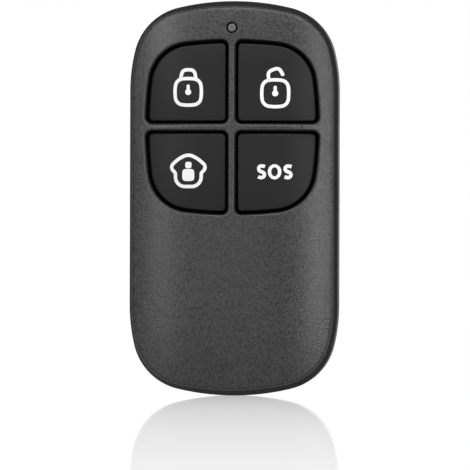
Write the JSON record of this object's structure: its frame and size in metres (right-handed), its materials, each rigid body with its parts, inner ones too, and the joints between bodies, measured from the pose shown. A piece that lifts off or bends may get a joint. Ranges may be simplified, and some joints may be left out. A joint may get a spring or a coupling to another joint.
{
  "type": "alarm key fob",
  "caption": "Pocket alarm transmitter: grained crowned front with press keys in a cross frame, indicator light, coin cell under a turning door and a strap bar on the back.",
  "frame": {"origin": "middle of the lower end, at half the thickness", "axes": "+Z along the length towards the indicator light, -Y out of the face with the keys, +X to the right as seen from the front"},
  "size_m": [0.031, 0.011, 0.0586],
  "materials": {
    "cover": "fine moulded grain",
    "shell": "satin",
    "key": "smooth",
    "lens": "translucent",
    "board": "solder mask",
    "led": "clear resin",
    "switch_base": "moulded",
    "plate": "stamped",
    "dome": "stamped",
    "stem": "moulded",
    "chip": "moulded",
    "resonator_can": "drawn",
    "capacitor": "fired",
    "resistor": "fired",
    "wire": "drawn",
    "can": "nickel plate",
    "cap": "plain",
    "gasket": "moulded",
    "contact": "spring strip",
    "seal": "moulded",
    "screw": "plated",
    "bar": "ground"
  },
  "bodies": {
    "case": {"front_cover": "cover", "rear_cover": "shell", "light_pipe": "lens", "circuit_board": "board", "indicator_led": "led", "switch_housings": "switch_base", "switch_plates": "plate", "snap_domes": "dome", "controller_chip": "chip", "radio_chip": "chip", "resonator": "resonator_can", "capacitors": "capacitor", "resistors": "resistor", "aerial": "wire", "cell_can": "can", "cell_cap": "cap", "cell_gasket": "gasket", "positive_contact": "contact", "negative_contact": "contact", "case_screws": "screw", "strap_bar": "bar"},
    "lock_key": {"lock_button": "key", "lock_stem": "stem"},
    "unlock_key": {"unlock_button": "key", "unlock_stem": "stem"},
    "home_key": {"home_button": "key", "home_stem": "stem"},
    "sos_key": {"sos_button": "key", "sos_stem": "stem"},
    "door": {"battery_door": "shell", "door_seal": "seal"}
  },
  "joints": [
    {"name": "lock_press", "type": "slide", "parent": "case", "child": "lock_key", "axis": [0, 1, 0], "range_m": [0, 0.0003], "stiffness_N_per_m": 2000},
    {"name": "unlock_press", "type": "slide", "parent": "case", "child": "unlock_key", "axis": [0, 1, 0], "range_m": [0, 0.0003], "stiffness_N_per_m": 2000},
    {"name": "home_press", "type": "slide", "parent": "case", "child": "home_key", "axis": [0, 1, 0], "range_m": [0, 0.0003], "stiffness_N_per_m": 2000},
    {"name": "sos_press", "type": "slide", "parent": "case", "child": "sos_key", "axis": [0, 1, 0], "range_m": [0, 0.0003], "stiffness_N_per_m": 2000},
    {"name": "door_turn", "type": "hinge", "parent": "case", "child": "door", "pos_m": [0, 0.0055, 0.0183], "axis": [0, 1, 0], "range_deg": [0, 45]}
  ]
}
